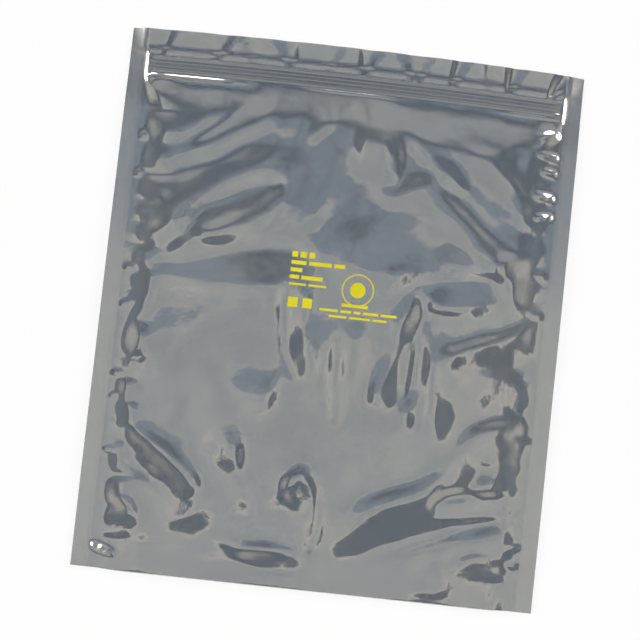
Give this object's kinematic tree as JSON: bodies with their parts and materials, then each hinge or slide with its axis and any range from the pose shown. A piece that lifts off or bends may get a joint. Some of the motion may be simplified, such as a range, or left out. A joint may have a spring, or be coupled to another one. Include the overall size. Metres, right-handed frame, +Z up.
{
  "type": "anti static shielding bag",
  "caption": "Flat metallised film bag with heat-sealed sides, a folded bottom and a press-together zip below an open lip, lying shut and empty.",
  "frame": {"origin": "on the ground, below the middle of the whole bag's box", "axes": "+X to the right across the bag, +Y from the bottom fold to the open lip, +Z up out of the printed front"},
  "size_m": [0.273, 0.3244, 0.0073],
  "materials": {
    "shielding_film": "glossy, half see-through metallised film, lightly creased",
    "zip_plastic": "milky extruded plastic, satin",
    "print_ink": "thin flat yellow ink"
  },
  "bodies": {
    "root": {"film_pouch": "shielding_film", "zip_rib_strip": "zip_plastic", "zip_groove_strip": "zip_plastic"}
  },
  "joints": []
}
